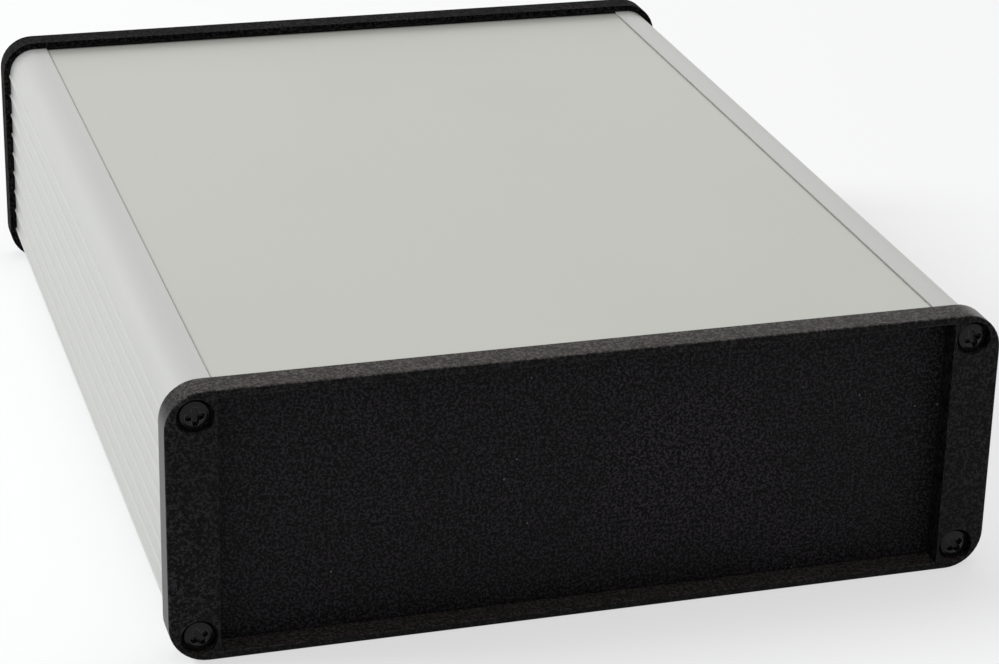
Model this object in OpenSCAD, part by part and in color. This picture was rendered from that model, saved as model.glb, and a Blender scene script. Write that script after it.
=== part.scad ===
// Extruded aluminium instrument enclosure.
// A channel-shaped extrusion takes a slide-in cover plate along tracks under its two top lips.
// Each end is closed by a flat panel, trapped between the extrusion and a bezel that four
// screws hold to ports in the extrusion's corners. The bezels stand proud of the extrusion
// all round, so the enclosure rests on their lower edges.

/* [Extrusion] */
// Outside width of the extrusion over its plain side walls
body_w = 160; // [100:1:240]
// Outside height of the extrusion
body_h = 51.5; // [44:0.5:100]
// Length that the extrusion and its cover are cut to
body_l = 200; // [80:1:400]
// Thickness of the side walls
side_wall = 2; // [1.5:0.1:3]
// Thickness of the floor
floor_wall = 2; // [1.5:0.1:3]
// Outside radius of the four long edges
corner_r = 6; // [4:0.25:8]

/* [Side ribs] */
// Spacing of the fine ribs along each side
rib_pitch = 4.85; // [3:0.05:8]
// Width of one rib where it leaves the wall
rib_w = 0.9; // [0.6:0.1:1.6]
// Height of one rib above the wall
rib_h = 0.3; // [0.1:0.05:0.4]

/* [Cover track] */
// Width of each top lip, from the side of the extrusion to its inner edge
lip_w = 8.8; // [8:0.1:14]
// Thickness of the lip over the cover's tongue
lip_t = 1.3; // [1:0.1:2]
// Depth of the track behind the lip's edge
track_depth = 1.8; // [1:0.1:2]
// Thickness of the ledge that carries the cover
ledge_t = 1.2; // [0.8:0.1:2]
// Clearance over the tongue and at each side of the cover
track_clear = 0.2; // [0.1:0.05:0.4]

/* [Cover] */
// Depth of the cover's outer face below the top of the lips
cover_drop = 0.4; // [0.1:0.1:0.8]
// Thickness of the tongue along each edge of the cover
tongue_t = 1; // [0.8:0.1:1.6]

/* [Screw ports] */
// Distance of each port's centre from the side of the extrusion
port_inset_x = 4.2; // [4:0.1:5]
// Distance of each port's centre from the top or underside of the extrusion
port_inset_z = 3.45; // [3.3:0.05:4.5]
// Wall round the inner half of a port
port_wall = 1.2; // [1:0.1:2]
// Width of the slit that opens each port to the inside
port_slit = 1.4; // [0.8:0.1:1.8]

/* [Card guides] */
// Height of the lowest card slot above the underside, and of the highest below the top
slot_first = 10; // [9:0.5:14]
// Spacing of the card slots up each side wall
slot_pitch = 10.5; // [6:0.5:20]
// Height of a card slot
slot_h = 1.9; // [1.2:0.1:2.5]
// Thickness of the fin over and under each slot
fin_t = 1.1; // [0.8:0.1:1.5]
// Reach of the fins from the side wall
fin_reach = 2.4; // [1.5:0.1:4]

/* [End panels] */
// Thickness of the end panels
panel_t = 1.2; // [0.8:0.1:2]
// Clearance round the edge of an end panel
panel_clear = 0.2; // [0.1:0.05:0.4]

/* [Bezels] */
// Depth of a bezel, from its face to the end of the extrusion
bezel_depth = 6; // [5.5:0.1:10]
// Overhang of the bezels beyond the extrusion all round
overhang = 1.5; // [1:0.1:3]
// Width of the side strips that carry the screws
strip_w = 9.7; // [9.5:0.1:12]
// Height of the thin rim above and below the window
rim_h = 1.5; // [1:0.1:3]
// Radius of the softened outer edge of the face
edge_r = 0.5; // [0.2:0.1:0.8]

/* [Screws] */
// Thread diameter of the end screws
screw_d = 3; // [2.5:0.1:3.2]
// Length of a screw under its head
screw_l = 12; // [8:1:16]
// Diameter of the pan head
head_d = 5.8; // [5:0.1:6]
// Height of the pan head
head_h = 2.2; // [1.6:0.1:2.4]
// Rise of the pan head's domed top above its straight side
head_dome = 0.7; // [0.3:0.1:1]
// Clearance round the screw through a bezel and its panel
hole_clear = 0.2; // [0.1:0.05:0.4]
// Clearance between the screw and the port that it is driven into
thread_clear = 0.05; // [0.03:0.01:0.1]
// Clearance round the head in its counterbore
head_clear = 0.6; // [0.3:0.1:0.8]
// Depth of the head's crown below the face of the bezel
head_sink = 0.2; // [0:0.1:0.5]
// Tip-to-tip size of the cross recess
cross_d = 3.6; // [2.5:0.1:4]
// Width of one arm of the cross recess
cross_w = 0.9; // [0.6:0.1:1.2]
// Depth of the cross recess below the crown
cross_depth = 1.3; // [0.8:0.1:1.5]

/* [Hidden] */
$fn = 64;

// Sides of the enclosure, as signs along their axes
LEFT = -1;
RIGHT = 1;
LOWER = -1;
UPPER = 1;
FRONT = -1;
REAR = 1;
SIDES = [LEFT, RIGHT];
LEVELS = [LOWER, UPPER];

// Length by which a cutting shape runs past the face that it opens
past = 1;

// Height of the extrusion's middle above the surface that the bezels stand on
axis_z = overhang + body_h / 2;

// Track, measured from the extrusion's middle
lip_edge = body_w / 2 - lip_w;
track_top = body_h / 2 - lip_t;
track_floor = track_top - tongue_t - track_clear;
ledge_under = track_floor - ledge_t;

// Inside of the extrusion
bay_half_w = body_w / 2 - side_wall;
bay_floor = -body_h / 2 + floor_wall;
bay_r = max(corner_r - max(side_wall, floor_wall), 0.5);

// Ribs: a shallow bead cut from a circle whose centre lies inside the wall
rib_r = (pow(rib_w / 2, 2) + pow(rib_h, 2)) / (2 * rib_h);
rib_count = floor((body_h - 2 * corner_r) / rib_pitch) + 1;

// Ports
port_x = body_w / 2 - port_inset_x;
port_z = body_h / 2 - port_inset_z;
port_r = screw_d / 2 + thread_clear;
port_outer_r = port_r + port_wall;

// Bezels
bezel_w = body_w + 2 * overhang;
bezel_h = body_h + 2 * overhang;
bezel_r = corner_r + overhang;
window_w = bezel_w - 2 * strip_w;
window_h = bezel_h - 2 * rim_h;
hole_r = screw_d / 2 + hole_clear;
counterbore_depth = head_h + head_sink;

// Finishes
satin_silver = [0.77, 0.77, 0.74];
plate_silver = [0.74, 0.74, 0.71];
moulded_black = [0.1, 0.1, 0.11];
coated_black = [0.14, 0.14, 0.15];
screw_black = [0.05, 0.05, 0.05];

// Rectangle with rounded corners, centred on the origin
module rounded_rect(w, h, r) {
    square([w - 2 * r, h], center = true);
    square([w, h - 2 * r], center = true);
    for (x = SIDES)
        for (z = LEVELS)
            translate([x * (w / 2 - r), z * (h / 2 - r)])
                circle(r);
}

// Puts a piece drawn face down, outer face at z = 0, on the front or the rear of the extrusion
module at_end(end) {
    mirror([0, end == FRONT ? 1 : 0, 0])
        translate([0, body_l / 2 + bezel_depth, axis_z])
            rotate([90, 0, 0])
                children();
}

// Repeats a shape at the four screw positions
module at_ports() {
    for (x = SIDES)
        for (z = LEVELS)
            translate([x * port_x, z * port_z])
                children();
}

// Space inside the extrusion, with rounded lower corners
module bay_section() {
    translate([-bay_half_w, bay_floor + bay_r])
        square([2 * bay_half_w, ledge_under - bay_floor - bay_r]);
    translate([-bay_half_w + bay_r, bay_floor])
        square([2 * (bay_half_w - bay_r), ledge_under - bay_floor]);
    for (x = SIDES)
        translate([x * (bay_half_w - bay_r), bay_floor + bay_r])
            circle(bay_r);
}

// Opening between the lips, and the track behind each of them
module track_section() {
    translate([-lip_edge, ledge_under - past])
        square([2 * lip_edge, body_h / 2 - ledge_under + 2 * past]);
    translate([-lip_edge - track_depth, track_floor])
        square([2 * (lip_edge + track_depth), track_top - track_floor]);
}

// Rounded boss of one port, carried into the corner of the walls
module port_boss() {
    circle(port_outer_r);
    translate([0, -port_outer_r])
        square([port_inset_x, 2 * port_outer_r]);
    translate([-port_outer_r, 0])
        square([2 * port_outer_r, port_inset_z]);
}

// Threaded hole of one port and the slit that opens it towards the middle
module port_hole() {
    circle(port_r);
    rotate(225)
        translate([0, -port_slit / 2])
            square([port_outer_r + past, port_slit]);
}

// The same shape in all four corners, each turned outwards
module in_corners() {
    for (x = SIDES)
        for (z = LEVELS)
            scale([x, z])
                translate([port_x, port_z])
                    children();
}

// Pair of fins round each card slot, on both side walls
module card_guides() {
    for (x = SIDES)
        for (slot = [slot_first : slot_pitch : body_h - slot_first])
            for (side = LEVELS)
                translate([x * (bay_half_w - fin_reach / 2), slot - body_h / 2 + side * (slot_h + fin_t) / 2])
                    square([fin_reach + side_wall / 2, fin_t], center = true);
}

// Fine ribs along the outside of both side walls
module side_ribs() {
    for (x = SIDES)
        for (i = [0 : rib_count - 1])
            translate([x * (body_w / 2 + rib_h - rib_r), (i - (rib_count - 1) / 2) * rib_pitch])
                circle(rib_r, $fn = 32);
}

// Whole section of the extrusion
module body_section() {
    difference() {
        union() {
            difference() {
                rounded_rect(body_w, body_h, corner_r);
                bay_section();
            }
            intersection() {
                rounded_rect(body_w, body_h, corner_r);
                in_corners() port_boss();
            }
            card_guides();
            side_ribs();
        }
        track_section();
        in_corners() port_hole();
    }
}

module body_extrusion() {
    color(satin_silver)
        translate([0, 0, axis_z])
            rotate([90, 0, 0])
                linear_extrude(height = body_l, center = true)
                    body_section();
}

// Flat cover whose stepped edges slide under the lips
module cover_plate() {
    face_w = 2 * (lip_edge - track_clear);
    tongue_w = 2 * (lip_edge + track_depth - track_clear);
    color(plate_silver)
        translate([0, 0, axis_z])
            rotate([90, 0, 0])
                linear_extrude(height = body_l, center = true)
                    translate([0, track_floor]) {
                        translate([-face_w / 2, 0])
                            square([face_w, body_h / 2 - cover_drop - track_floor]);
                        translate([-tongue_w / 2, 0])
                            square([tongue_w, tongue_t]);
                    }
}

// Flat end panel, drawn with its outer face at the depth of the bezel's rebate
module end_panel(end) {
    color(coated_black)
        at_end(end)
            translate([0, 0, bezel_depth - panel_t])
                linear_extrude(height = panel_t)
                    difference() {
                        rounded_rect(body_w - 2 * panel_clear, body_h - 2 * panel_clear, corner_r - panel_clear);
                        at_ports() circle(hole_r);
                    }
}

// Section through the outer edge of a bezel, from the corner's centre outwards
module edge_section(reach) {
    square([reach - edge_r, bezel_depth]);
    translate([0, edge_r])
        square([reach, bezel_depth - edge_r]);
    translate([reach - edge_r, edge_r])
        circle(edge_r, $fn = 32);
}

// One straight edge of a bezel, between two corners, on the +X side
module edge_bar(length) {
    rotate([90, 0, 0])
        linear_extrude(height = length, center = true)
            edge_section(bezel_r);
}

// Solid block of a bezel with a softened edge round its face
module bezel_block() {
    core_w = bezel_w - 2 * bezel_r;
    core_h = bezel_h - 2 * bezel_r;
    translate([-core_w / 2, -core_h / 2, 0])
        cube([core_w, core_h, bezel_depth]);
    for (turn = [0, 180])
        rotate(turn) {
            translate([core_w / 2, 0, 0])
                edge_bar(core_h);
            translate([0, core_h / 2, 0])
                rotate(90)
                    edge_bar(core_w);
            translate([core_w / 2, core_h / 2, 0])
                rotate_extrude(angle = 90)
                    edge_section(bezel_r);
            translate([-core_w / 2, core_h / 2, 0])
                rotate(90)
                    rotate_extrude(angle = 90)
                        edge_section(bezel_r);
        }
}

// Bezel: a shallow frame with a rebate for the panel behind and counterbored screw holes
module bezel(end) {
    color(moulded_black)
        at_end(end)
            difference() {
                bezel_block();
                translate([0, 0, -past])
                    linear_extrude(height = bezel_depth + 2 * past)
                        square([window_w, window_h], center = true);
                translate([0, 0, bezel_depth - panel_t])
                    linear_extrude(height = panel_t + past)
                        rounded_rect(body_w, body_h, corner_r);
                at_ports() {
                    translate([0, 0, -past])
                        cylinder(h = bezel_depth + 2 * past, r = hole_r);
                    translate([0, 0, -past])
                        cylinder(h = counterbore_depth + past, r = head_d / 2 + head_clear);
                }
            }
}

// Pan-head screw with a cross recess, turned about its own axis by turn degrees
module end_screw(end, side, level, turn) {
    dome_r = (pow(head_d / 2, 2) + pow(head_dome, 2)) / (2 * head_dome);
    tip = screw_d / 4;
    color(screw_black)
        at_end(end)
            translate([side * port_x, level * port_z, head_sink]) {
                difference() {
                    intersection() {
                        cylinder(h = head_h, d = head_d);
                        translate([0, 0, dome_r])
                            sphere(dome_r);
                    }
                    rotate(turn)
                        for (arm = [0, 90])
                            rotate(arm)
                                translate([-cross_d / 2, -cross_w / 2, -past])
                                    cube([cross_d, cross_w, cross_depth + past]);
                }
                translate([0, 0, head_h - past])
                    cylinder(h = screw_l - tip + past, d = screw_d);
                translate([0, 0, head_h + screw_l - tip])
                    cylinder(h = tip, d1 = screw_d, d2 = screw_d - tip);
            }
}

body_extrusion();
cover_plate();
end_panel(FRONT);  // front_panel
end_panel(REAR);  // rear_panel
bezel(FRONT);  // front_bezel
bezel(REAR);  // rear_bezel
end_screw(FRONT, LEFT, UPPER, 3);  // front_screw_upper_left
end_screw(FRONT, RIGHT, UPPER, 20);  // front_screw_upper_right
end_screw(FRONT, LEFT, LOWER, 28);  // front_screw_lower_left
end_screw(FRONT, RIGHT, LOWER, 35);  // front_screw_lower_right
end_screw(REAR, LEFT, UPPER, 14);  // rear_screw_upper_left
end_screw(REAR, RIGHT, UPPER, 41);  // rear_screw_upper_right
end_screw(REAR, LEFT, LOWER, 66);  // rear_screw_lower_left
end_screw(REAR, RIGHT, LOWER, 8);  // rear_screw_lower_right
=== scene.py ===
"""Finishes, bezels, end screws, studio and camera of an extruded aluminium enclosure."""

import logging
import math
from dataclasses import dataclass, field
from enum import Enum
from typing import Callable, Iterable, Sequence

import bmesh
import bpy
from mathutils import Matrix, Vector


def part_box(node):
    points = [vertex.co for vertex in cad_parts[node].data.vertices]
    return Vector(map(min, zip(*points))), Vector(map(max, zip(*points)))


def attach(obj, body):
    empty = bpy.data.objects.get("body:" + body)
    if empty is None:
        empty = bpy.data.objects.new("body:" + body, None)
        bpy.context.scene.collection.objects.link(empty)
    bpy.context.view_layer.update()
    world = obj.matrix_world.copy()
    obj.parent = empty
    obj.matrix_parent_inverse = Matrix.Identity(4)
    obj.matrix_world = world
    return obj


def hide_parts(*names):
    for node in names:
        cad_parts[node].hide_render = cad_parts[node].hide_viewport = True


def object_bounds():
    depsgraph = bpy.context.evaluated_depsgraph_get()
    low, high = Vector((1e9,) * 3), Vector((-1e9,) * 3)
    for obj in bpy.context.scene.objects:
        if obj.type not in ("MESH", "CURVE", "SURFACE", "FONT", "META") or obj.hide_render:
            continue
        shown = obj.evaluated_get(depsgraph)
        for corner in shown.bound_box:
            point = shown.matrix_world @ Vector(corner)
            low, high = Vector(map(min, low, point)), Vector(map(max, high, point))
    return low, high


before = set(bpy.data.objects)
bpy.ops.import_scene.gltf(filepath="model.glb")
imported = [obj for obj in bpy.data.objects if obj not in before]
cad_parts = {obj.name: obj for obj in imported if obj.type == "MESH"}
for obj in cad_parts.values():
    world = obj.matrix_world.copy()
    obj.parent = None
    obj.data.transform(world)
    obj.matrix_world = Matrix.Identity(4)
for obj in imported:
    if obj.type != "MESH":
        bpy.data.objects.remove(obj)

LOG = logging.getLogger("enclosure")
MM = 0.001
CAD_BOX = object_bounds()


class End(Enum):
    """The two ends of the extrusion, as the sign of their outward direction along Y."""

    FRONT = -1
    REAR = 1


class Corner(Enum):
    """The four screw positions of an end, as signs along X and Z."""

    UPPER_LEFT = (-1, 1)
    UPPER_RIGHT = (1, 1)
    LOWER_LEFT = (-1, -1)
    LOWER_RIGHT = (1, -1)


# ----------------------------------------------------------------------------
# Shader effects shared by the finishes
# ----------------------------------------------------------------------------

Socket = bpy.types.NodeSocket
Tree = bpy.types.NodeTree

NOISE_MEAN = 0.5
LINE_STRETCH = (1.0, 0.012, 1.0)
LINE_DETAIL = 3.0
GRAIN_DETAIL = 4.0
PEBBLE_DETAIL = 3.0
DOME_SHARE = 0.6
LOOSE_SCALE = 0.6
CREST_RANGE = (0.72, 1.08)
CLOUD_DETAIL = 2.0
CLOUD_RANGE = (0.45, 0.75)
WEAR_AND_HIGHLIGHT_SAMPLES = 4
WEAR_AND_HIGHLIGHT_RANGE = (0.02, 0.2)
BREAK_SCALE = 900.0
BREAK_DETAIL = 3.0
BREAK_RANGE = (0.3, 0.6)


def math_node(tree: Tree, operation: str, first: Socket | float, second: Socket | float = 0.0) -> Socket:
    """Adds a Math node.

    Args:
        tree: Node tree that receives the node.
        operation: Blender's name of the operation.
        first: First operand, a socket or a number.
        second: Second operand, a socket or a number.

    Returns:
        The node's output socket.
    """
    node = tree.nodes.new("ShaderNodeMath")
    node.operation = operation
    for socket, value in zip(node.inputs, (first, second)):
        if isinstance(value, (int, float)):
            socket.default_value = value
        else:
            tree.links.new(value, socket)
    return node.outputs[0]


def ramp_node(tree: Tree, value: Socket, low: float, high: float) -> Socket:
    """Turns a value into 0 to 1 between two levels, with soft ends.

    Args:
        tree: Node tree that receives the node.
        value: Socket to remap.
        low: Level that becomes 0.
        high: Level that becomes 1.

    Returns:
        The remapped socket.
    """
    node = tree.nodes.new("ShaderNodeMapRange")
    node.interpolation_type = "SMOOTHSTEP"
    node.inputs["From Min"].default_value = low
    node.inputs["From Max"].default_value = high
    tree.links.new(value, node.inputs["Value"])
    return node.outputs["Result"]


def position_node(tree: Tree, stretch: Sequence[float] = (1.0, 1.0, 1.0)) -> Socket:
    """Gives the object's own coordinates, stretched along each axis.

    Args:
        tree: Node tree that receives the nodes.
        stretch: Factor along X, Y and Z.

    Returns:
        A vector socket.
    """
    source = tree.nodes.new("ShaderNodeTexCoord")
    scaled = tree.nodes.new("ShaderNodeVectorMath")
    scaled.operation = "MULTIPLY"
    scaled.inputs[1].default_value = tuple(stretch)
    tree.links.new(source.outputs["Object"], scaled.inputs[0])
    return scaled.outputs[0]


def noise_node(tree: Tree, vector: Socket, scale: Socket | float, detail: float) -> Socket:
    """Adds a noise texture.

    Args:
        tree: Node tree that receives the node.
        vector: Coordinates of the noise.
        scale: Features per metre, a socket or a number.
        detail: Number of octaves.

    Returns:
        The noise value, about 0.5 on average.
    """
    node = tree.nodes.new("ShaderNodeTexNoise")
    node.inputs["Detail"].default_value = detail
    tree.links.new(vector, node.inputs["Vector"])
    if isinstance(scale, (int, float)):
        node.inputs["Scale"].default_value = scale
    else:
        tree.links.new(scale, node.inputs["Scale"])
    return node.outputs["Fac"]


@dataclass(frozen=True)
class Effect:
    """A named shader group with value inputs and value outputs."""

    name: str
    inputs: tuple[tuple[str, float], ...]
    outputs: tuple[str, ...]
    build: Callable[[Tree, dict[str, Socket]], dict[str, Socket]]

    def group(self) -> Tree:
        """Builds the group once.

        Returns:
            The group's node tree.
        """
        known = bpy.data.node_groups.get(self.name)
        if known:
            return known
        tree = bpy.data.node_groups.new(self.name, "ShaderNodeTree")
        for label, value in self.inputs:
            socket = tree.interface.new_socket(label, in_out="INPUT", socket_type="NodeSocketFloat")
            socket.default_value = value
        for label in self.outputs:
            tree.interface.new_socket(label, in_out="OUTPUT", socket_type="NodeSocketFloat")
        entry = tree.nodes.new("NodeGroupInput")
        results = self.build(tree, {s.name: s for s in entry.outputs if s.name})
        leave = tree.nodes.new("NodeGroupOutput")
        for label, socket in results.items():
            tree.links.new(socket, leave.inputs[label])
        return tree

    def place(self, tree: Tree, **values: float) -> bpy.types.Node:
        """Places the group in a material.

        Args:
            tree: The material's node tree.
            **values: Input values, named as the inputs with spaces as underscores.

        Returns:
            The group node.
        """
        node = tree.nodes.new("ShaderNodeGroup")
        node.node_tree = self.group()
        for key, value in values.items():
            node.inputs[key.replace("_", " ")].default_value = value
        return node


def build_draw_lines(tree: Tree, inputs: dict[str, Socket]) -> dict[str, Socket]:
    """Faint lines that the die leaves along an extrusion.

    Args:
        tree: Node tree of the group.
        inputs: The group's inputs by name.

    Returns:
        Sockets for the group's outputs by name.
    """
    lines = noise_node(tree, position_node(tree, LINE_STRETCH), inputs["Scale"], LINE_DETAIL)
    centred = math_node(tree, "SUBTRACT", lines, NOISE_MEAN)
    shade = math_node(tree, "ADD", math_node(tree, "MULTIPLY", centred, inputs["Contrast"]), 1.0)
    return {"Shade": shade, "Height": lines}


def build_etched_grain(tree: Tree, inputs: dict[str, Socket]) -> dict[str, Socket]:
    """Fine matt grain of an etched or blasted surface.

    Args:
        tree: Node tree of the group.
        inputs: The group's inputs by name.

    Returns:
        Sockets for the group's outputs by name.
    """
    grain = noise_node(tree, position_node(tree), inputs["Scale"], GRAIN_DETAIL)
    centred = math_node(tree, "SUBTRACT", grain, NOISE_MEAN)
    shade = math_node(tree, "ADD", math_node(tree, "MULTIPLY", centred, inputs["Contrast"]), 1.0)
    return {"Shade": shade, "Height": grain}


def build_pebble(tree: Tree, inputs: dict[str, Socket]) -> dict[str, Socket]:
    """Rounded pebbles of a textured coating or a spark-eroded moulding, with painted shade in the valleys
    and a painted highlight on the crests.

    Args:
        tree: Node tree of the group.
        inputs: The group's inputs by name.

    Returns:
        Sockets for the group's outputs by name.
    """
    cells = tree.nodes.new("ShaderNodeTexVoronoi")
    cells.feature = "SMOOTH_F1"
    tree.links.new(position_node(tree), cells.inputs["Vector"])
    tree.links.new(inputs["Scale"], cells.inputs["Scale"])
    domes = math_node(tree, "SUBTRACT", 1.0, cells.outputs["Distance"])
    loose_scale = math_node(tree, "MULTIPLY", inputs["Scale"], LOOSE_SCALE)
    loose = noise_node(tree, position_node(tree), loose_scale, PEBBLE_DETAIL)
    height = math_node(tree, "ADD", math_node(tree, "MULTIPLY", domes, DOME_SHARE), loose)
    crest = ramp_node(tree, height, *CREST_RANGE)
    # Painted shade and highlight: the colour factor runs from Valley in the hollows to Crest on the tops.
    rise = math_node(tree, "SUBTRACT", inputs["Crest"], inputs["Valley"])
    shade = math_node(tree, "ADD", math_node(tree, "MULTIPLY", crest, rise), inputs["Valley"])
    return {"Height": height, "Shade": shade, "Crest": crest}


def build_specks(tree: Tree, inputs: dict[str, Socket]) -> dict[str, Socket]:
    """Sparse specks of dust: the small cores of a few cells picked at random.

    Args:
        tree: Node tree of the group.
        inputs: The group's inputs by name.

    Returns:
        Sockets for the group's outputs by name.
    """
    cells = tree.nodes.new("ShaderNodeTexVoronoi")
    tree.links.new(position_node(tree), cells.inputs["Vector"])
    tree.links.new(inputs["Scale"], cells.inputs["Scale"])
    core = math_node(tree, "LESS_THAN", cells.outputs["Distance"], inputs["Size"])
    split = tree.nodes.new("ShaderNodeSeparateColor")
    tree.links.new(cells.outputs["Color"], split.inputs["Color"])
    chosen = math_node(tree, "LESS_THAN", split.outputs["Red"], inputs["Share"])
    return {"Mask": math_node(tree, "MULTIPLY", core, chosen)}


def build_crown_highlight(tree: Tree, inputs: dict[str, Socket]) -> dict[str, Socket]:
    """Mask of whatever stands out sideways past a distance from the middle, where a painted highlight
    lightens the colour.

    Args:
        tree: Node tree of the group.
        inputs: The group's inputs by name.

    Returns:
        Sockets for the group's outputs by name.
    """
    split = tree.nodes.new("ShaderNodeSeparateXYZ")
    tree.links.new(position_node(tree), split.inputs[0])
    away = math_node(tree, "ABSOLUTE", split.outputs["X"])
    span = math_node(tree, "SUBTRACT", inputs["End"], inputs["Start"])
    part = math_node(tree, "DIVIDE", math_node(tree, "SUBTRACT", away, inputs["Start"]), span)
    return {"Mask": ramp_node(tree, part, 0.0, 1.0)}


def build_upward(tree: Tree, inputs: dict[str, Socket]) -> dict[str, Socket]:
    """Mask of the surfaces that face up, where dust settles and a lighter colour is painted as light
    falling on top.

    Args:
        tree: Node tree of the group.
        inputs: The group's inputs by name.

    Returns:
        Sockets for the group's outputs by name.
    """
    shape = tree.nodes.new("ShaderNodeNewGeometry")
    split = tree.nodes.new("ShaderNodeSeparateXYZ")
    tree.links.new(shape.outputs["Normal"], split.inputs[0])
    span = math_node(tree, "SUBTRACT", inputs["High"], inputs["Low"])
    part = math_node(tree, "DIVIDE", math_node(tree, "SUBTRACT", split.outputs["Z"], inputs["Low"]), span)
    return {"Mask": ramp_node(tree, part, 0.0, 1.0)}


def build_smudge(tree: Tree, inputs: dict[str, Socket]) -> dict[str, Socket]:
    """Soft cloudy marks left by handling.

    Args:
        tree: Node tree of the group.
        inputs: The group's inputs by name.

    Returns:
        Sockets for the group's outputs by name.
    """
    cloud = noise_node(tree, position_node(tree), inputs["Scale"], CLOUD_DETAIL)
    return {"Mask": math_node(tree, "MULTIPLY", ramp_node(tree, cloud, *CLOUD_RANGE), inputs["Amount"])}


def build_edge_wear_and_highlight(tree: Tree, inputs: dict[str, Socket]) -> dict[str, Socket]:
    """Mask of a thin band along outer edges, found by comparing true and rounded normals; wear and a
    painted highlight lighten the colour there.

    Args:
        tree: Node tree of the group.
        inputs: The group's inputs by name.

    Returns:
        Sockets for the group's outputs by name.
    """
    rounded = tree.nodes.new("ShaderNodeBevel")
    rounded.samples = WEAR_AND_HIGHLIGHT_SAMPLES
    tree.links.new(inputs["Radius"], rounded.inputs["Radius"])
    true = tree.nodes.new("ShaderNodeNewGeometry")
    product = tree.nodes.new("ShaderNodeVectorMath")
    product.operation = "DOT_PRODUCT"
    tree.links.new(rounded.outputs["Normal"], product.inputs[0])
    tree.links.new(true.outputs["Normal"], product.inputs[1])
    turned = math_node(tree, "SUBTRACT", 1.0, product.outputs["Value"])
    breaks = noise_node(tree, position_node(tree), BREAK_SCALE, BREAK_DETAIL)
    whole = ramp_node(tree, turned, *WEAR_AND_HIGHLIGHT_RANGE)
    uneven = math_node(tree, "MULTIPLY", whole, ramp_node(tree, breaks, *BREAK_RANGE))
    return {"Mask": math_node(tree, "MULTIPLY", uneven, inputs["Amount"])}


DRAW_LINES = Effect(
    "draw_lines", (("Scale", 2500.0), ("Contrast", 0.05)), ("Shade", "Height"), build_draw_lines
)
ETCHED_GRAIN = Effect(
    "etched_grain", (("Scale", 9000.0), ("Contrast", 0.05)), ("Shade", "Height"), build_etched_grain
)
PEBBLE = Effect(
    "pebble",
    (("Scale", 1500.0), ("Valley", 0.5), ("Crest", 1.5)),
    ("Height", "Shade", "Crest"),
    build_pebble,
)
CROWN_HIGHLIGHT = Effect("crown_painted_highlight", (("Start", 0.0), ("End", 1.0)), ("Mask",), build_crown_highlight)
SPECKS = Effect("dust_specks", (("Scale", 60.0), ("Size", 0.02), ("Share", 0.2)), ("Mask",), build_specks)
UPWARD = Effect("upward", (("Low", 0.5), ("High", 0.9)), ("Mask",), build_upward)
SMUDGE = Effect("handling_smudge", (("Scale", 20.0), ("Amount", 0.1)), ("Mask",), build_smudge)
EDGE_WEAR_AND_HIGHLIGHT = Effect("edge_wear_and_highlight", (("Radius", 0.0003), ("Amount", 0.5)), ("Mask",), build_edge_wear_and_highlight)


# ----------------------------------------------------------------------------
# Finishes
# ----------------------------------------------------------------------------

Colour = tuple[float, float, float]


class Shader:
    """A material under construction: its tree, its Principled shader and its base colour."""

    def __init__(self, name: str) -> None:
        """Makes an empty material with a Principled shader.

        Args:
            name: Name of the material.
        """
        self.material = bpy.data.materials.new(name)
        self.material.use_nodes = True
        self.tree = self.material.node_tree
        self.tree.nodes.clear()
        self.surface = self.tree.nodes.new("ShaderNodeBsdfPrincipled")
        out = self.tree.nodes.new("ShaderNodeOutputMaterial")
        self.tree.links.new(self.surface.outputs["BSDF"], out.inputs["Surface"])

    def set(self, **values: float) -> None:
        """Sets plain numbers on the Principled shader.

        Args:
            **values: Numbers named as its sockets, with underscores for spaces.
        """
        for key, value in values.items():
            self.surface.inputs[key.replace("_", " ")].default_value = value

    def shaded(self, colour: Colour, factors: Iterable[Socket]) -> Socket:
        """Multiplies a colour by values that change over the surface.

        Args:
            colour: Base colour, linear.
            factors: Sockets with a value about 1.

        Returns:
            A colour socket.
        """
        product: Socket | None = None
        for factor in factors:
            product = factor if product is None else math_node(self.tree, "MULTIPLY", product, factor)
        node = self.tree.nodes.new("ShaderNodeVectorMath")
        node.operation = "SCALE"
        node.inputs[0].default_value = colour
        self.tree.links.new(product, node.inputs["Scale"])
        return node.outputs[0]

    def mixed(self, mask: Socket, under: Socket, over: Colour) -> Socket:
        """Lays a colour over another where a mask says so.

        Args:
            mask: 0 keeps the colour under, 1 shows the one over.
            under: Colour socket below.
            over: Colour on top, linear.

        Returns:
            The mixed colour socket.
        """
        node = self.tree.nodes.new("ShaderNodeMix")
        node.data_type = "RGBA"
        self.tree.links.new(mask, node.inputs[0])
        self.tree.links.new(under, node.inputs[6])
        node.inputs[7].default_value = (*over, 1.0)
        return node.outputs[2]

    def colour(self, socket: Socket) -> None:
        """Feeds the base colour."""
        self.tree.links.new(socket, self.surface.inputs["Base Color"])

    def roughness(self, level: float, offsets: Iterable[tuple[Socket, float]]) -> None:
        """Feeds the roughness.

        Args:
            level: Mean roughness.
            offsets: Masks and how much each adds where it is 1.
        """
        total: Socket | float = level
        for mask, amount in offsets:
            total = math_node(self.tree, "ADD", math_node(self.tree, "MULTIPLY", mask, amount), total)
        self.tree.links.new(total, self.surface.inputs["Roughness"])

    def bump(self, heights: Iterable[tuple[Socket, float]], normal: Socket | None = None) -> None:
        """Feeds the normal.

        Args:
            heights: Height sockets and the depth of each in metres.
            normal: Normal that the bumps start from, or none for the surface's own.
        """
        for height, depth in heights:
            node = self.tree.nodes.new("ShaderNodeBump")
            node.inputs["Distance"].default_value = depth
            self.tree.links.new(height, node.inputs["Height"])
            if normal:
                self.tree.links.new(normal, node.inputs["Normal"])
            normal = node.outputs["Normal"]
        self.tree.links.new(normal, self.surface.inputs["Normal"])


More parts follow.
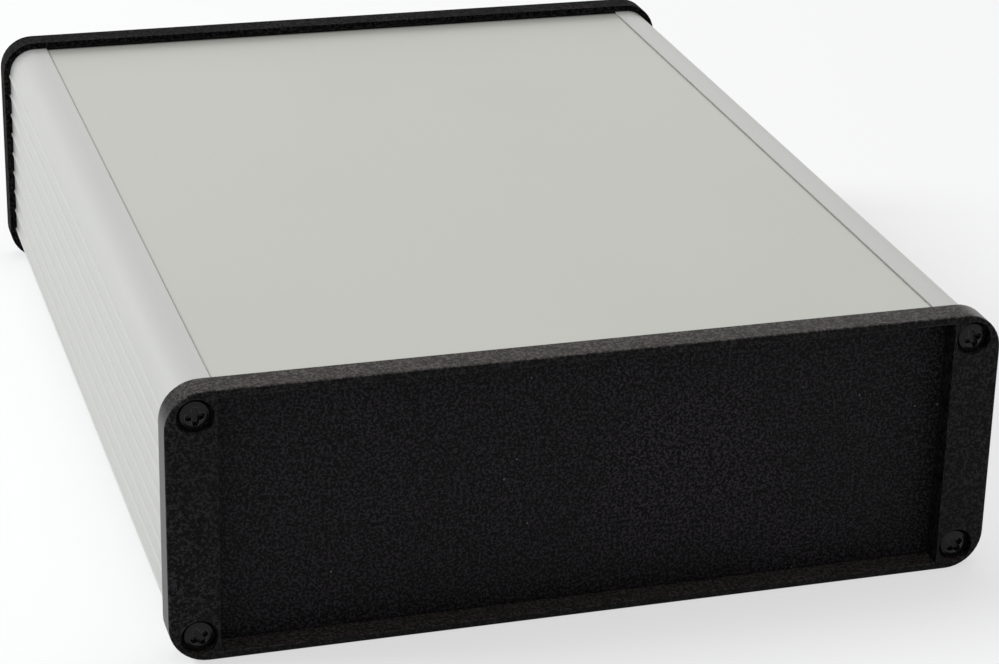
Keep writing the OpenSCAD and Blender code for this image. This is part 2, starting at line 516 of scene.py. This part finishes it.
@dataclass(frozen=True)
class SatinAnodised:
    """Natural anodised aluminium: matt, faintly lined along the extrusion, with a little dust and a
    painted highlight where it stands out farthest sideways.
    """

    name: str
    base: Colour
    metallic: float = 0.5
    specular: float = 0.5
    roughness: float = 0.35
    line_scale: float = 2200.0
    line_contrast: float = 0.03
    line_depth: float = 0.004 * MM
    grain_scale: float = 8000.0
    grain_contrast: float = 0.04
    grain_depth: float = 0.003 * MM
    grain_roughness: float = 0.04
    smudge_scale: float = 14.0
    smudge: float = 0.02
    smudge_roughness: float = 0.6
    speck_scale: float = 26.0
    speck_size: float = 0.011
    speck_share: float = 0.14
    edge_samples: int = 6
    edge_radius: float = 0.35 * MM
    # Painted highlight: the colour is lighter past this distance from the middle, on the rib crowns.
    highlight_start: float = 80.1 * MM
    highlight_end: float = 80.28 * MM
    highlight_gain: float = 0.07
    dust: Colour = (0.95, 0.95, 0.93)

    def material(self) -> bpy.types.Material:
        """Builds the finish.

        Returns:
            The material.
        """
        shader = Shader(self.name)
        shader.set(Metallic=self.metallic, Specular_IOR_Level=self.specular)
        lines = DRAW_LINES.place(shader.tree, Scale=self.line_scale, Contrast=self.line_contrast)
        grain = ETCHED_GRAIN.place(shader.tree, Scale=self.grain_scale, Contrast=self.grain_contrast)
        smudge = SMUDGE.place(shader.tree, Scale=self.smudge_scale, Amount=self.smudge)
        specks = SPECKS.place(
            shader.tree, Scale=self.speck_scale, Size=self.speck_size, Share=self.speck_share
        )
        crown = CROWN_HIGHLIGHT.place(shader.tree, Start=self.highlight_start, End=self.highlight_end)
        soiled = math_node(shader.tree, "SUBTRACT", 1.0, smudge.outputs["Mask"])
        # Painted highlight: lighter colour on the rib crowns, and along the cover's long edges beside the
        # seams.
        gained = math_node(shader.tree, "MULTIPLY", crown.outputs["Mask"], self.highlight_gain)
        highlighted = math_node(shader.tree, "ADD", gained, 1.0)
        factors = [lines.outputs["Shade"], grain.outputs["Shade"], soiled, highlighted]
        body = shader.shaded(self.base, factors)
        shader.colour(shader.mixed(specks.outputs["Mask"], body, self.dust))
        offsets = [
            (smudge.outputs["Mask"], self.smudge_roughness),
            (grain.outputs["Height"], self.grain_roughness),
        ]
        shader.roughness(self.roughness, offsets)
        rounded = shader.tree.nodes.new("ShaderNodeBevel")
        rounded.samples = self.edge_samples
        rounded.inputs["Radius"].default_value = self.edge_radius
        heights = [
            (lines.outputs["Height"], self.line_depth),
            (grain.outputs["Height"], self.grain_depth),
        ]
        shader.bump(heights, rounded.outputs["Normal"])
        return shader.material


@dataclass(frozen=True)
class TexturedBlack:
    """Black finish with a fine pebble painted darker in its valleys and lighter on its crests as shade and
    highlight, dust and painted light on up-facing crests, and edges lightened by wear and a painted
    highlight.
    """

    name: str
    base: Colour
    pebble_scale: float
    pebble_depth: float
    roughness: float
    specular: float
    speck_share: float
    edge_amount: float
    grazing_gloss: float
    top_dust_and_light: float = 0.0
    top_dust_and_light_floor: float = 1 / 3
    upward_from: float = 0.55
    upward_to: float = 0.95
    # Colour factor in the pebble valleys (painted shade) and on the crests (painted highlight).
    valley: float = 0.0
    crest: float = 5.0
    speck_scale: float = 75.0
    speck_size: float = 0.02
    fine_scale: float = 420.0
    fine_size: float = 0.09
    fine_share: float = 0.035
    fine_strength: float = 0.16
    smudge_scale: float = 28.0
    smudge: float = 0.5
    smudge_roughness: float = 0.12
    edge_radius: float = 0.35 * MM
    edge_roughness: float = -0.15
    grazing_from: float = 0.56
    grazing_to: float = 0.8
    gloss_roughness: float = 0.35
    # Beige of the dust and painted light on up-facing surfaces.
    top_dust_and_light_colour: Colour = (0.40, 0.355, 0.33)
    dust: Colour = (0.55, 0.55, 0.54)
    # Grey of the wear and painted highlight along edges.
    wear_and_highlight: Colour = (0.12, 0.12, 0.12)

    def material(self) -> bpy.types.Material:
        """Builds the finish.

        Returns:
            The material.
        """
        shader = Shader(self.name)
        shader.set(Specular_IOR_Level=self.specular)
        tree = shader.tree
        pebble = PEBBLE.place(tree, Scale=self.pebble_scale, Valley=self.valley, Crest=self.crest)
        specks = SPECKS.place(tree, Scale=self.speck_scale, Size=self.speck_size, Share=self.speck_share)
        fine = SPECKS.place(tree, Scale=self.fine_scale, Size=self.fine_size, Share=self.fine_share)
        smudge = SMUDGE.place(tree, Scale=self.smudge_scale, Amount=self.smudge)
        edge = EDGE_WEAR_AND_HIGHLIGHT.place(tree, Radius=self.edge_radius, Amount=self.edge_amount)
        hazed = math_node(tree, "ADD", 1.0, smudge.outputs["Mask"])
        body = shader.shaded(self.base, [pebble.outputs["Shade"], hazed])
        # Dust and painted light on top: up-facing surfaces, most on the pebble crests, take a lighter
        # beige.
        upward = UPWARD.place(tree, Low=self.upward_from, High=self.upward_to)
        grip = math_node(tree, "MULTIPLY", pebble.outputs["Crest"], self.top_dust_and_light)
        grip = math_node(tree, "ADD", grip, self.top_dust_and_light * self.top_dust_and_light_floor)
        top_dust_and_light = math_node(tree, "MULTIPLY", upward.outputs["Mask"], grip)
        body = shader.mixed(top_dust_and_light, body, self.top_dust_and_light_colour)
        # Wear and painted highlight: a thin lighter band along the edges.
        body = shader.mixed(edge.outputs["Mask"], body, self.wear_and_highlight)
        faint = math_node(tree, "MULTIPLY", fine.outputs["Mask"], self.fine_strength)
        body = shader.mixed(faint, body, self.dust)
        shader.colour(shader.mixed(specks.outputs["Mask"], body, self.dust))
        offsets = [
            (smudge.outputs["Mask"], self.smudge_roughness),
            (edge.outputs["Mask"], self.edge_roughness),
        ]
        shader.roughness(self.roughness, offsets)
        shader.bump([(pebble.outputs["Height"], self.pebble_depth)])
        facing = tree.nodes.new("ShaderNodeLayerWeight")
        sheen = ramp_node(tree, facing.outputs["Facing"], self.grazing_from, self.grazing_to)
        sheen = math_node(tree, "MULTIPLY", sheen, self.grazing_gloss)
        tree.links.new(sheen, shader.surface.inputs["Coat Weight"])
        shader.set(Coat_Roughness=self.gloss_roughness)
        return shader.material


@dataclass(frozen=True)
class BlackScrew:
    """Glossy black-plated steel with slight driver wear and a painted highlight on the edges of the
    recess.
    """

    name: str
    base: Colour = (0.006, 0.006, 0.006)
    wear_and_highlight: Colour = (0.2, 0.2, 0.2)
    specular: float = 0.17
    roughness: float = 0.13
    grain_scale: float = 5000.0
    grain_contrast: float = 0.3
    grain_roughness: float = 0.1
    grain_depth: float = 0.004 * MM
    edge_radius: float = 0.14 * MM
    edge_amount: float = 0.8
    rim_from: float = 0.3
    rim_to: float = 0.7
    rim_roughness: float = 0.1

    def material(self) -> bpy.types.Material:
        """Builds the finish.

        Returns:
            The material.
        """
        shader = Shader(self.name)
        shader.set(Specular_IOR_Level=self.specular)
        grain = ETCHED_GRAIN.place(shader.tree, Scale=self.grain_scale, Contrast=self.grain_contrast)
        edge = EDGE_WEAR_AND_HIGHLIGHT.place(shader.tree, Radius=self.edge_radius, Amount=self.edge_amount)
        facing = shader.tree.nodes.new("ShaderNodeLayerWeight")
        rim = ramp_node(shader.tree, facing.outputs["Facing"], self.rim_from, self.rim_to)
        shader.tree.links.new(rim, shader.surface.inputs["Coat Weight"])
        shader.set(Coat_Roughness=self.rim_roughness)
        body = shader.shaded(self.base, [grain.outputs["Shade"]])
        # Wear and painted highlight: lighter colour along the edges of the recess and the head.
        shader.colour(shader.mixed(edge.outputs["Mask"], body, self.wear_and_highlight))
        shader.roughness(self.roughness, [(grain.outputs["Height"], self.grain_roughness)])
        shader.bump([(grain.outputs["Height"], self.grain_depth)])
        return shader.material


# ----------------------------------------------------------------------------
# Mesh building
# ----------------------------------------------------------------------------

Ring = list[bmesh.types.BMVert]
Spots = list[tuple[float, float]]
Rows = list[tuple[Spots, float]]

NORMAL_WEIGHT = 100
MOULDED_SHARP_DEG = 40.0
TURNED_SHARP_DEG = 32.0
FLAT_SHARP_DEG = 30.0


def finish_mesh(mesh: bmesh.types.BMesh, name: str, sharp_deg: float) -> bpy.types.Object:
    """Turns a mesh under construction into a smooth-shaded object with crisp corners.

    Args:
        mesh: The closed mesh; it is freed.
        name: Name of the object.
        sharp_deg: Edges that turn more than this stay crisp.

    Returns:
        The linked object.
    """
    bmesh.ops.recalc_face_normals(mesh, faces=mesh.faces)
    limit = math.radians(sharp_deg)
    for face in mesh.faces:
        face.smooth = True
    for edge in mesh.edges:
        edge.smooth = len(edge.link_faces) == 2 and edge.calc_face_angle() < limit
    data = bpy.data.meshes.new(name)
    mesh.to_mesh(data)
    mesh.free()
    piece = bpy.data.objects.new(name, data)
    bpy.context.scene.collection.objects.link(piece)
    weighted = piece.modifiers.new("even_normals", "WEIGHTED_NORMAL")
    weighted.keep_sharp = True
    weighted.weight = NORMAL_WEIGHT
    return piece


def bridge(mesh: bmesh.types.BMesh, first: Ring, second: Ring) -> None:
    """Joins two rings of as many points with a band of faces.

    Args:
        mesh: Mesh that receives the band.
        first: Ring on one side.
        second: Ring on the other side.
    """
    count = len(first)
    for i in range(count):
        j = (i + 1) % count
        mesh.faces.new((first[i], first[j], second[j], second[i]))


def fill_between(mesh: bmesh.types.BMesh, rings: Sequence[Ring]) -> None:
    """Fills the flat area inside the first ring and outside the others.

    Args:
        mesh: Mesh that receives the faces.
        rings: The outer ring, then the rings of the holes.
    """
    edges = []
    for ring in rings:
        for a, b in zip(ring, ring[1:] + ring[:1]):
            known = mesh.edges.get((a, b))
            edges.append(known or mesh.edges.new((a, b)))
    bmesh.ops.triangle_fill(mesh, edges=edges, use_beauty=True)


@dataclass
class RoundedOutline:
    """A rectangle with round corners in the plane of an end, which can be offset."""

    width: float
    height: float
    radius: float
    steps: int = 10

    def points(self, offset: float) -> Spots:
        """Points of the outline moved outwards.

        Args:
            offset: How far, in metres; negative moves it inwards.

        Returns:
            (x, z) pairs, counter-clockwise, as many for every offset.
        """
        radius = self.radius + offset
        half_w = self.width / 2 - self.radius
        half_h = self.height / 2 - self.radius
        spots = []
        for quarter, (sx, sz) in enumerate(((1, 1), (-1, 1), (-1, -1), (1, -1))):
            for i in range(self.steps + 1):
                angle = math.radians(90 * (quarter + i / self.steps))
                x = sx * half_w + radius * math.cos(angle)
                z = sz * half_h + radius * math.sin(angle)
                spots.append((x, z))
        return spots


@dataclass
class CircleOutline:
    """A circle in the plane of an end, which can be offset."""

    x: float
    z: float
    radius: float
    steps: int = 48

    def points(self, offset: float) -> Spots:
        """Points of the circle moved outwards.

        Args:
            offset: How far, in metres; negative moves it inwards.

        Returns:
            (x, z) pairs, counter-clockwise.
        """
        radius = self.radius + offset
        turn = 2 * math.pi / self.steps
        return [
            (self.x + radius * math.cos(i * turn), self.z + radius * math.sin(i * turn))
            for i in range(self.steps)
        ]


@dataclass
class Bezel:
    """One moulded bezel: a shallow frame with a rebate behind and counterbored screw holes.

    Sizes are in metres. Depths run from the face towards the extrusion.
    """

    end: End
    edge_radius: float = 0.5 * MM
    outer_radius: float = 7.5 * MM
    strip: float = 9.7 * MM
    rim: float = 1.5 * MM
    window_radius: float = 0.35 * MM
    window_edge: float = 0.18 * MM
    overhang: float = 1.5 * MM
    rebate_radius: float = 6.0 * MM
    rebate_slack: float = 0.04 * MM
    panel: float = 1.2 * MM
    counterbore: float = 3.5 * MM
    counterbore_depth: float = 2.4 * MM
    hole: float = 1.7 * MM
    screw_inset: tuple[float, float] = (5.7 * MM, 4.95 * MM)
    round_steps: int = 4
    window_steps: int = 3

    @property
    def node(self) -> str:
        """Name of the solid that the piece stands for."""
        return f"{self.end.name.lower()}_bezel"

    def __post_init__(self) -> None:
        """Reads the overall size and place from the solid."""
        low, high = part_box(self.node)
        self.width = high.x - low.x
        self.height = high.z - low.z
        self.depth = high.y - low.y
        self.middle_z = (high.z + low.z) / 2
        self.face_y = low.y if self.end is End.FRONT else high.y

    def ring(self, mesh: bmesh.types.BMesh, spots: Spots, depth: float) -> Ring:
        """Puts an outline's points at a depth behind the face."""
        y = self.face_y - self.end.value * depth
        return [mesh.verts.new((x, y, self.middle_z + z)) for x, z in spots]

    def round_over(self, outline: RoundedOutline | CircleOutline, radius: float, outward: int) -> Rows:
        """Offsets and depths of a quarter-round between the face and a wall.

        Args:
            outline: Outline of the wall.
            radius: Radius of the round.
            outward: 1 where the material lies outside the wall, as round a hole, else -1.

        Returns:
            Pairs of outline points and depth, from the face inwards.
        """
        rows = []
        for i in range(self.round_steps + 1):
            angle = math.radians(90 * i / self.round_steps)
            offset = outward * radius * (1 - math.sin(angle))
            rows.append((outline.points(offset), radius * (1 - math.cos(angle))))
        return rows

    def wall(self, mesh: bmesh.types.BMesh, rows: Rows) -> tuple[Ring, Ring]:
        """Builds the bands through several rows.

        Args:
            mesh: Mesh that receives the bands.
            rows: Pairs of outline points and depth.

        Returns:
            The first and the last ring.
        """
        rings = [self.ring(mesh, spots, depth) for spots, depth in rows]
        for first, second in zip(rings, rings[1:]):
            bridge(mesh, first, second)
        return rings[0], rings[-1]

    def holes(self) -> list[tuple[CircleOutline, CircleOutline]]:
        """Lays out the screw holes.

        Returns:
            Counterbore and through hole of each corner.
        """
        x = self.width / 2 - self.screw_inset[0]
        z = self.height / 2 - self.screw_inset[1]
        pairs = []
        for corner in Corner:
            sx, sz = corner.value
            bore = CircleOutline(sx * x, sz * z, self.counterbore)
            pairs.append((bore, CircleOutline(sx * x, sz * z, self.hole)))
        return pairs

    def build(self) -> bpy.types.Object:
        """Builds the closed mesh of the bezel and puts it in place of its solid.

        Returns:
            The bezel.
        """
        mesh = bmesh.new()
        outer = RoundedOutline(self.width, self.height, self.outer_radius)
        window = RoundedOutline(
            self.width - 2 * self.strip,
            self.height - 2 * self.rim,
            self.window_radius,
            steps=self.window_steps,
        )
        slack = self.rebate_slack
        rebate = RoundedOutline(
            self.width - 2 * self.overhang + slack,
            self.height - 2 * self.overhang + slack,
            self.rebate_radius,
        )
        floor = self.depth - self.panel
        outside = [*self.round_over(outer, self.edge_radius, -1), (outer.points(0), self.depth)]
        face_outer, back_outer = self.wall(mesh, outside)
        inside = [*self.round_over(window, self.window_edge, 1), (window.points(0), floor)]
        face_window, floor_window = self.wall(mesh, inside)
        behind = [(rebate.points(0), self.depth), (rebate.points(0), floor)]
        back_rebate, floor_rebate = self.wall(mesh, behind)
        bridge(mesh, back_outer, back_rebate)
        face_rings, floor_rings = [face_outer, face_window], [floor_rebate, floor_window]
        for bore, hole in self.holes():
            rows = [*self.round_over(bore, self.window_edge, 1), (bore.points(0), self.counterbore_depth)]
            rows += [(hole.points(0), self.counterbore_depth), (hole.points(0), floor)]
            face_bore, floor_hole = self.wall(mesh, rows)
            face_rings.append(face_bore)
            floor_rings.append(floor_hole)
        fill_between(mesh, face_rings)
        fill_between(mesh, floor_rings)
        piece = finish_mesh(mesh, f"{self.node}_moulding", MOULDED_SHARP_DEG)
        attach(piece, "root")
        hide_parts(self.node)
        return piece


@dataclass
class EndScrew:
    """One pan-head screw with a tapered cross recess, built on its own axis and then placed."""

    end: End
    corner: Corner
    turn_deg: float
    head: float = 2.9 * MM
    head_height: float = 2.2 * MM
    dome: float = 0.75 * MM
    shoulder: float = 0.35 * MM
    shank: float = 1.5 * MM
    tip: float = 0.75 * MM
    arm: float = 2.0 * MM
    arm_width: float = 1.1 * MM
    recess: float = 1.3 * MM
    taper: float = 0.68
    flare: float = 1.25
    web: float = 1.35
    merge: float = 0.002 * MM
    around: int = 64
    crown_steps: int = 8
    shoulder_steps: int = 5

    @property
    def node(self) -> str:
        """Name of the solid that the piece stands for."""
        return f"{self.end.name.lower()}_screw_{self.corner.name.lower()}"

    def profile(self, length: float) -> list[tuple[float, float]]:
        """Half section of the screw, from the crown to the tip.

        Args:
            length: Whole length of the screw.

        Returns:
            (radius, depth) pairs.
        """
        reach = self.head - self.shoulder
        crown_radius = (reach**2 + self.dome**2) / (2 * self.dome)
        rows = []
        for i in range(1, self.crown_steps + 1):
            r = reach * i / self.crown_steps
            rows.append((r, crown_radius - math.sqrt(crown_radius**2 - r**2)))
        for i in range(1, self.shoulder_steps + 1):
            angle = math.radians(90 * i / self.shoulder_steps)
            drop = self.shoulder * (1 - math.cos(angle))
            rows.append((reach + self.shoulder * math.sin(angle), self.dome + drop))
        rows += [(self.head, self.head_height), (self.shank, self.head_height)]
        rows += [(self.shank, length - self.tip), (self.shank - self.tip / 2, length)]
        return rows

    def blank(self, length: float) -> bpy.types.Object:
        """Turned blank of the screw, closed at the crown and the tip.

        Args:
            length: Whole length of the screw.

        Returns:
            The blank.
        """
        mesh = bmesh.new()
        rings = []
        for radius, depth in self.profile(length):
            circle = CircleOutline(0.0, 0.0, radius, self.around)
            rings.append([mesh.verts.new((x, y, -depth)) for x, y in circle.points(0)])
        for first, second in zip(rings, rings[1:]):
            bridge(mesh, first, second)
        crown = mesh.verts.new((0, 0, 0))
        for a, b in zip(rings[0], rings[0][1:] + rings[0][:1]):
            mesh.faces.new((a, b, crown))
        mesh.faces.new(rings[-1])
        return finish_mesh(mesh, "screw_blank", MOULDED_SHARP_DEG)

    def cutter(self) -> bpy.types.Object:
        """Tapered cross that the driver's recess is cut with.

        Returns:
            The cutter.
        """
        mesh = bmesh.new()
        half = self.arm_width / 2
        corner = half * self.web
        outline = []
        for quarter in range(4):
            c, s = math.cos(quarter * math.pi / 2), math.sin(quarter * math.pi / 2)
            for x, y in ((self.arm, -half), (self.arm, half), (corner, corner)):
                outline.append((x * c - y * s, x * s + y * c))
        rows = []
        for depth, scale in ((-self.recess, self.flare), (0.0, 1.0), (self.recess, self.taper)):
            rows.append([mesh.verts.new((x * scale, y * scale, -depth)) for x, y in outline])
        for first, second in zip(rows, rows[1:]):
            bridge(mesh, first, second)
        mesh.faces.new(rows[0])
        mesh.faces.new(rows[-1])
        return finish_mesh(mesh, "recess_cutter", FLAT_SHARP_DEG)

    def build(self) -> bpy.types.Object:
        """Builds the screw and puts it in place of its solid.

        Returns:
            The screw.
        """
        low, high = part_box(self.node)
        blank = self.blank(high.y - low.y)
        cutter = self.cutter()
        blank.modifiers.clear()
        cut = blank.modifiers.new("recess", "BOOLEAN")
        cut.operation = "DIFFERENCE"
        cut.object = cutter
        graph = bpy.context.evaluated_depsgraph_get()
        mesh = bmesh.new()
        mesh.from_mesh(blank.evaluated_get(graph).to_mesh())
        for spare in (blank, cutter):
            bpy.data.objects.remove(spare)
        bmesh.ops.remove_doubles(mesh, verts=mesh.verts, dist=self.merge)
        crown_y = low.y if self.end is End.FRONT else high.y
        centre = Vector(((low.x + high.x) / 2, crown_y, (low.z + high.z) / 2))
        tilt = Matrix.Rotation(math.radians(90 if self.end is End.FRONT else -90), 4, "X")
        place = Matrix.Translation(centre) @ tilt @ Matrix.Rotation(math.radians(self.turn_deg), 4, "Z")
        bmesh.ops.transform(mesh, matrix=place, verts=mesh.verts)
        piece = finish_mesh(mesh, f"{self.node}_turned", TURNED_SHARP_DEG)
        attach(piece, "root")
        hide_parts(self.node)
        return piece


# ----------------------------------------------------------------------------
# Assembly
# ----------------------------------------------------------------------------


@dataclass
class Enclosure:
    """The whole case: finishes on the solids, and finer bezels and screws in place of theirs."""

    body_finish: SatinAnodised = SatinAnodised("satin_anodised_body", (0.478, 0.48, 0.458))
    # The cover's copy paints a highlight along its long edges, beside the seams.
    cover_finish: SatinAnodised = SatinAnodised(
        "satin_anodised_cover",
        (0.475, 0.48, 0.437),
        highlight_start=70.97 * MM,
        highlight_end=71.0 * MM,
        highlight_gain=0.7,
    )
    panel_finish: TexturedBlack = TexturedBlack(
        "black_coated_panel",
        base=(0.0046, 0.0040, 0.0047),
        pebble_scale=2700.0,
        pebble_depth=0.08 * MM,
        roughness=0.62,
        specular=0.09,
        speck_share=0.05,
        edge_amount=0.0,
        grazing_gloss=0.0,
    )
    bezel_finish: TexturedBlack = TexturedBlack(
        "black_moulded_bezel",
        base=(0.0037, 0.0033, 0.0036),
        pebble_scale=2400.0,
        pebble_depth=0.08 * MM,
        roughness=0.55,
        specular=0.085,
        speck_share=0.04,
        edge_amount=0.45,
        grazing_gloss=0.6,
        top_dust_and_light=0.11,
    )
    # Shaded copy of the bezel's finish for the rear end: without the top dust and painted light, with less
    # specular and no gloss at grazing angles, so that it renders darker.
    rear_bezel_shaded_finish: TexturedBlack = TexturedBlack(
        "black_moulded_bezel_clean_shaded",
        base=(0.0037, 0.0033, 0.0036),
        pebble_scale=2400.0,
        pebble_depth=0.08 * MM,
        roughness=0.75,
        specular=0.035,
        speck_share=0.04,
        edge_amount=0.3,
        grazing_gloss=0.0,
    )
    screw_finish: BlackScrew = BlackScrew("black_screw")
    turns: dict[End, tuple[float, float, float, float]] = field(
        default_factory=lambda: {End.FRONT: (3, 20, 28, 35), End.REAR: (14, 41, 66, 8)}
    )

    def dress(self, names: Iterable[str], material: bpy.types.Material) -> None:
        """Gives solids that keep their own shape a finish.

        Args:
            names: Names of the solids.
            material: Finish that they all take.
        """
        for name in names:
            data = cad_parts[name].data
            data.materials.clear()
            data.materials.append(material)
            LOG.info("dressed %s in %s", name, material.name)

    def add(self, piece: bpy.types.Object, material: bpy.types.Material) -> None:
        """Gives a new piece its finish and reports it.

        Args:
            piece: The new piece.
            material: Its finish.
        """
        piece.data.materials.append(material)
        LOG.info("built %s with %d faces", piece.name, len(piece.data.polygons))

    def build(self) -> None:
        """Dresses the solids and builds the bezels and screws."""
        self.dress(["body_extrusion"], self.body_finish.material())
        self.dress(["cover_plate"], self.cover_finish.material())
        self.dress(["front_panel", "rear_panel"], self.panel_finish.material())
        bezel_materials = {
            End.FRONT: self.bezel_finish.material(),
            End.REAR: self.rear_bezel_shaded_finish.material(),
        }
        screw_material = self.screw_finish.material()
        for end in End:
            self.add(Bezel(end).build(), bezel_materials[end])
            for corner, turn in zip(Corner, self.turns[end]):
                self.add(EndScrew(end, corner, turn).build(), screw_material)


# ----------------------------------------------------------------------------
# Studio
# ----------------------------------------------------------------------------


@dataclass
class SoftBox:
    """A large square lamp aimed at the middle of the case."""

    name: str
    azimuth_deg: float
    elevation_deg: float
    distance: float
    size: float
    power: float
    colour: Colour = (1.0, 1.0, 1.0)

    def build(self, target: Vector) -> None:
        """Makes the lamp.

        Args:
            target: Point that the lamp faces.
        """
        lamp = bpy.data.lights.new(self.name, "AREA")
        lamp.size = self.size
        lamp.energy = self.power
        lamp.color = self.colour
        body = bpy.data.objects.new(self.name, lamp)
        bpy.context.scene.collection.objects.link(body)
        body.location = target + direction(self.azimuth_deg, self.elevation_deg) * self.distance
        body.rotation_euler = (target - body.location).to_track_quat("-Z", "Y").to_euler()


def direction(azimuth_deg: float, elevation_deg: float) -> Vector:
    """Unit vector from the case towards a place round it; azimuth 0 is straight in front.

    Args:
        azimuth_deg: Angle round the case, positive towards +X.
        elevation_deg: Angle above the horizon.

    Returns:
        The direction.
    """
    a, e = math.radians(azimuth_deg), math.radians(elevation_deg)
    return Vector((math.sin(a) * math.cos(e), -math.cos(a) * math.cos(e), math.sin(e)))


@dataclass
class Camera:
    """The view: where it stands round its aim, its roll and its lens."""

    aim: Vector = Vector((25.75 * MM, -13.1 * MM, 17.24 * MM))
    azimuth_deg: float = -18.442
    elevation_deg: float = 23.177
    roll_deg: float = 1.962
    distance: float = 659.76 * MM
    lens: float = 108.668
    sensor: float = 36.0
    shift_x: float = -0.0756
    near: float = 0.01
    far: float = 20.0

    def build(self) -> None:
        """Makes the camera and looks through it."""
        back = direction(self.azimuth_deg, self.elevation_deg)
        level = Vector((0, 0, 1)).cross(back).normalized()
        upright = back.cross(level)
        c, s = math.cos(math.radians(self.roll_deg)), math.sin(math.radians(self.roll_deg))
        right = c * level + s * upright
        up = c * upright - s * level
        data = bpy.data.cameras.new("camera")
        data.lens = self.lens
        data.sensor_width = self.sensor
        data.shift_x = self.shift_x
        data.clip_start = self.near
        data.clip_end = self.far
        body = bpy.data.objects.new("camera", data)
        bpy.context.scene.collection.objects.link(body)
        turned = Matrix((right, up, back)).transposed().to_4x4()
        body.matrix_world = Matrix.Translation(self.aim + back * self.distance) @ turned
        bpy.context.scene.camera = body


def seen_directly(tree: Tree) -> Socket:
    """Tells what the camera sees itself, in a reflection or through glass.

    Args:
        tree: Node tree that receives the nodes.

    Returns:
        A socket that is 1 there and 0 elsewhere.
    """
    path = tree.nodes.new("ShaderNodeLightPath")
    seen = math_node(tree, "MAXIMUM", path.outputs["Is Camera Ray"], path.outputs["Is Glossy Ray"])
    return math_node(tree, "MAXIMUM", seen, path.outputs["Is Transmission Ray"])


@dataclass
class Studio:
    """Pale floor, white surround and soft lamps."""

    floor_size: float = 8.0
    floor_colour: Colour = (0.86, 0.86, 0.86)
    floor_roughness: float = 0.9
    floor_specular: float = 0.1
    fill: float = 0.4
    backdrop_white: float = 0.6
    lamps: tuple[SoftBox, ...] = (
        SoftBox("key", -105.0, 36.0, 1.6, 0.55, 20.0, (0.95, 0.97, 1.0)),
        SoftBox("top", 160.0, 75.0, 1.8, 1.2, 8.0),
    )

    def floor(self, height: float) -> None:
        """Lays the floor under the case.

        Args:
            height: Height of the floor.
        """
        mesh = bmesh.new()
        half = self.floor_size / 2
        spots = ((-half, -half), (half, -half), (half, half), (-half, half))
        mesh.faces.new([mesh.verts.new((x, y, height)) for x, y in spots])
        floor = finish_mesh(mesh, "studio_floor", FLAT_SHARP_DEG)
        shader = Shader("studio_floor")
        shader.set(Roughness=self.floor_roughness, Specular_IOR_Level=self.floor_specular)
        shader.surface.inputs["Base Color"].default_value = (*self.floor_colour, 1.0)
        glow = shader.tree.nodes.new("ShaderNodeEmission")
        mix = shader.tree.nodes.new("ShaderNodeMixShader")
        seen = seen_directly(shader.tree)
        shader.tree.links.new(math_node(shader.tree, "MULTIPLY", seen, self.backdrop_white), mix.inputs[0])
        shader.tree.links.new(shader.surface.outputs["BSDF"], mix.inputs[1])
        shader.tree.links.new(glow.outputs[0], mix.inputs[2])
        shader.tree.links.new(mix.outputs[0], shader.tree.get_output_node("ALL").inputs["Surface"])
        floor.data.materials.append(shader.material)

    def surround(self) -> None:
        """White surround for the camera and for reflections, dimmer as a source of light."""
        world = bpy.data.worlds.new("studio")
        bpy.context.scene.world = world
        world.use_nodes = True
        tree = world.node_tree
        tree.nodes.clear()
        extra = math_node(tree, "MULTIPLY", seen_directly(tree), 1.0 - self.fill)
        light = tree.nodes.new("ShaderNodeBackground")
        tree.links.new(math_node(tree, "ADD", extra, self.fill), light.inputs["Strength"])
        out = tree.nodes.new("ShaderNodeOutputWorld")
        light.inputs["Color"].default_value = (1.0, 1.0, 1.0, 1.0)
        tree.links.new(light.outputs[0], out.inputs["Surface"])

    def build(self) -> None:
        """Builds the floor, the surround and the lamps."""
        low, high = CAD_BOX
        self.floor(low.z)
        self.surround()
        for lamp in self.lamps:
            lamp.build((low + high) / 2)
        bpy.context.scene.view_settings.view_transform = "Standard"


def main() -> None:
    """Builds the case, the studio and the camera."""
    logging.basicConfig(level=logging.INFO, format="%(name)s: %(message)s")
    Enclosure().build()
    Studio().build()
    Camera().build()


if __name__ == "__main__":
    main()
